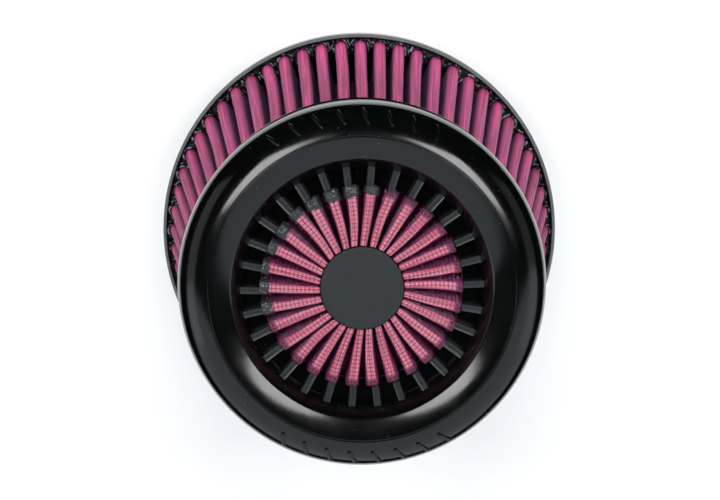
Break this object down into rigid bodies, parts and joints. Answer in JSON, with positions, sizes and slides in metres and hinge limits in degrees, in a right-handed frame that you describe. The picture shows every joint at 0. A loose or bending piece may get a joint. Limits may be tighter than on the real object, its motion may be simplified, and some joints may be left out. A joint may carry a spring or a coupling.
{
  "type": "clamp-on air filter",
  "caption": "Round tapered clamp-on air filter: pleated cotton sides and front in moulded rubber end rings, with a hollow neck and a worm-drive hose clamp.",
  "frame": {"origin": "centre of the neck's open end, which the filter stands on", "axes": "+Z along the filter's axis, from the open neck to the pleated front; +Y to the side that carries the middle of one group of grip ribs; the clamp's screw housing faces -Y"},
  "size_m": [0.152, 0.152, 0.176],
  "materials": {
    "black_rubber": "glossy moulded polyurethane rubber",
    "cap_rubber": "matte moulded polyurethane rubber",
    "side_cotton": "oiled dyed cotton gauze",
    "front_cotton": "oiled dyed cotton gauze",
    "coated_wire": "epoxy-coated woven aluminium wire, wet with dyed oil",
    "plain_wire": "epoxy-coated woven aluminium wire",
    "zinc_steel": "zinc-plated steel",
    "stainless": "rolled stainless strip"
  },
  "bodies": {
    "filter": {"base_ring_and_neck": "black_rubber", "side_cotton": "side_cotton", "side_inner_mesh": "plain_wire", "side_seam_strip": "zinc_steel", "front_rim": "black_rubber", "front_face_mesh": "coated_wire", "front_cotton": "front_cotton", "front_back_mesh": "plain_wire", "front_seam_strip": "zinc_steel", "centre_cap": "cap_rubber"},
    "clamp": {"clamp_band": "stainless", "clamp_saddle": "stainless", "clamp_housing": "stainless"},
    "tail": {"clamp_tail": "stainless"},
    "screw": {"clamp_screw": "zinc_steel"}
  },
  "joints": [
    {"name": "clamp_swivel", "type": "hinge", "parent": "filter", "child": "clamp", "pos_m": [0, 0, 0.0146], "axis": [0, 0, 1], "continuous": true},
    {"name": "screw_turn", "type": "hinge", "parent": "clamp", "child": "screw", "pos_m": [0, -0.0493, 0.0146], "axis": [-1, 0, 0], "range_deg": [-1080, 360]},
    {"name": "tail_travel", "type": "hinge", "parent": "clamp", "child": "tail", "pos_m": [0, 0, 0.0146], "axis": [0, 0, 1], "range_deg": [-12.2, 4.1]}
  ],
  "couplings": [
    {"joint": "tail_travel", "follows": "screw_turn", "ratio": 0.01118}
  ]
}
